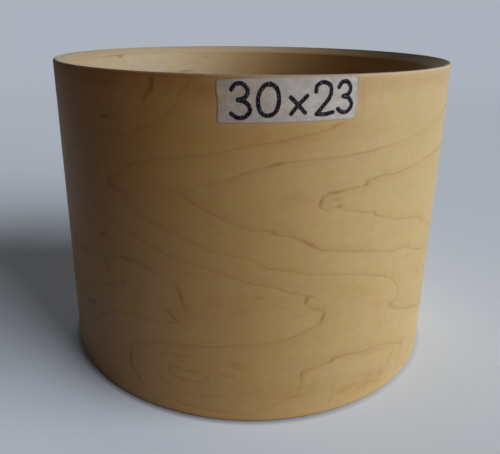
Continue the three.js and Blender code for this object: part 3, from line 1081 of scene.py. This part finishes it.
FLOOR_RADIUS = 8
FLOOR_SIDES = 96
FLOOR_COLOUR = (0.8, 0.85, 0.94)
NEAR_BOUNCE = (0.345, 0.19, 0.19)  # the light that the floor near the shell throws back
FAR_BOUNCE = (0.14, 0.07, 0.045)
BOUNCE_FROM = 0.25  # metres from the axis, as below
BOUNCE_TO = 0.7
BACKDROP_COLOUR = (0.41, 0.445, 0.51)
SHINE_LEFT = (0.1, 0.1, 0.12)  # what the wood reflects of the room on either side
SHINE_RIGHT = (0.22, 0.4, 0.76)
SHINE_SPREAD = 0.8
FADE_FROM = 0.9
FADE_TO = 2.4
FLOOR_GLOW = 0.03
CONTACT_REACH = 4.5 * MM  # how far out from the shell's foot the floor is in its shade
CONTACT_SHADE = (0.5, 0.5, 0.5)
CONTACT_RIGHT = 0.35  # how much of that shade is left on the key lamp's side


def backdrop_colour(tree, rightward):
    """Plain to the camera; what the wood reflects of the room is darker on the left."""
    camera = tree.add("LightPath").outputs["Is Camera Ray"]
    spread = tree.ease(rightward, -SHINE_SPREAD, SHINE_SPREAD)
    shine = tree.mix(spread, SHINE_LEFT, SHINE_RIGHT)
    return tree.mix(camera, shine, BACKDROP_COLOUR)


def seen_share(tree):
    """One for what the camera or a reflection sees, and none for light on the object."""
    path = tree.add("LightPath").outputs
    return tree.math("MAXIMUM", path["Is Camera Ray"], path["Is Glossy Ray"])


def make_floor():
    """A pale floor that fades into the backdrop's colour far from the object."""
    bpy.ops.mesh.primitive_circle_add(vertices=FLOOR_SIDES, radius=FLOOR_RADIUS, fill_type="NGON")
    floor = bpy.context.object
    floor.name = "floor"
    material = bpy.data.materials.new("pale_floor")
    tree = Tree(material)
    place = tree.add("NewGeometry").outputs["Position"]
    length = tree.add("VectorMath", {0: place}, operation="LENGTH").outputs["Value"]
    seen = seen_share(tree)
    rightward = tree.math("DIVIDE", tree.parts(place)[0], length)
    bounce = tree.mix(tree.ease(length, BOUNCE_FROM, BOUNCE_TO), NEAR_BOUNCE, FAR_BOUNCE)
    contact = tree.ease(length, OUTER_RADIUS, OUTER_RADIUS + CONTACT_REACH, 1, 0)
    lampward = tree.ease(rightward, 0, SHINE_SPREAD, 1, CONTACT_RIGHT)
    contact = tree.times(contact, lampward)
    outside = tree.ease(length, OUTER_RADIUS - CONTACT_REACH, OUTER_RADIUS)
    contact = tree.times(contact, outside)
    colour = tree.mix(seen, bounce, tree.tint(FLOOR_COLOUR, contact, CONTACT_SHADE))
    matte = tree.add("BsdfDiffuse", {"Color": colour}).outputs[0]
    glow = tree.add("Emission", {"Color": backdrop_colour(tree, rightward)}).outputs[0]
    far = tree.ease(length, FADE_FROM, FADE_TO, FLOOR_GLOW, 1)
    far = tree.times(far, seen)
    both = tree.add("MixShader", {0: far, 1: matte, 2: glow}).outputs[0]
    tree.add("OutputMaterial", {"Surface": both})
    floor.data.materials.append(material)


LAMPS = {
    # azimuth from the front towards +X, elevation and angular size in degrees, strength, colour
    "key_lamp": (68.5, 20, 60, 1.215, (0.97, 1.01, 1.04)),
    "back_lamp": (190, 8, 40, 0.3, (0.95, 0.98, 1)),
}
AMBIENT = 0.015
AMBIENT_COLOUR = (0.95, 0.97, 1)


def make_lamps():
    for name, (azimuth, elevation, size, level, colour) in LAMPS.items():
        data = bpy.data.lights.new(name, "SUN")
        data.angle = math.radians(size)
        data.energy = math.pi * level
        data.color = colour
        lamp = bpy.data.objects.new(name, data)
        around, above = math.radians(azimuth), math.radians(elevation)
        towards = Vector((
            math.sin(around) * math.cos(above),
            -math.cos(around) * math.cos(above),
            math.sin(above),
        ))
        lamp.rotation_mode = "QUATERNION"
        lamp.rotation_quaternion = towards.to_track_quat("Z", "Y")
        put_in_scene(lamp)


def make_world():
    world = bpy.data.worlds.new("studio")
    bpy.context.scene.world = world
    tree = Tree(world)
    direction = tree.add("TexCoord").outputs["Generated"]
    seen = seen_share(tree)
    ambient = tree.add("Background", {"Color": AMBIENT_COLOUR, "Strength": AMBIENT})
    backdrop = backdrop_colour(tree, tree.parts(direction)[0])
    backdrop = tree.add("Background", {"Color": backdrop})
    both = {0: seen, 1: ambient.outputs[0], 2: backdrop.outputs[0]}
    mixed = tree.add("MixShader", both).outputs[0]
    tree.add("OutputWorld", {"Surface": mixed})


make_floor()
make_lamps()
make_world()
bpy.context.scene.view_settings.view_transform = "Standard"
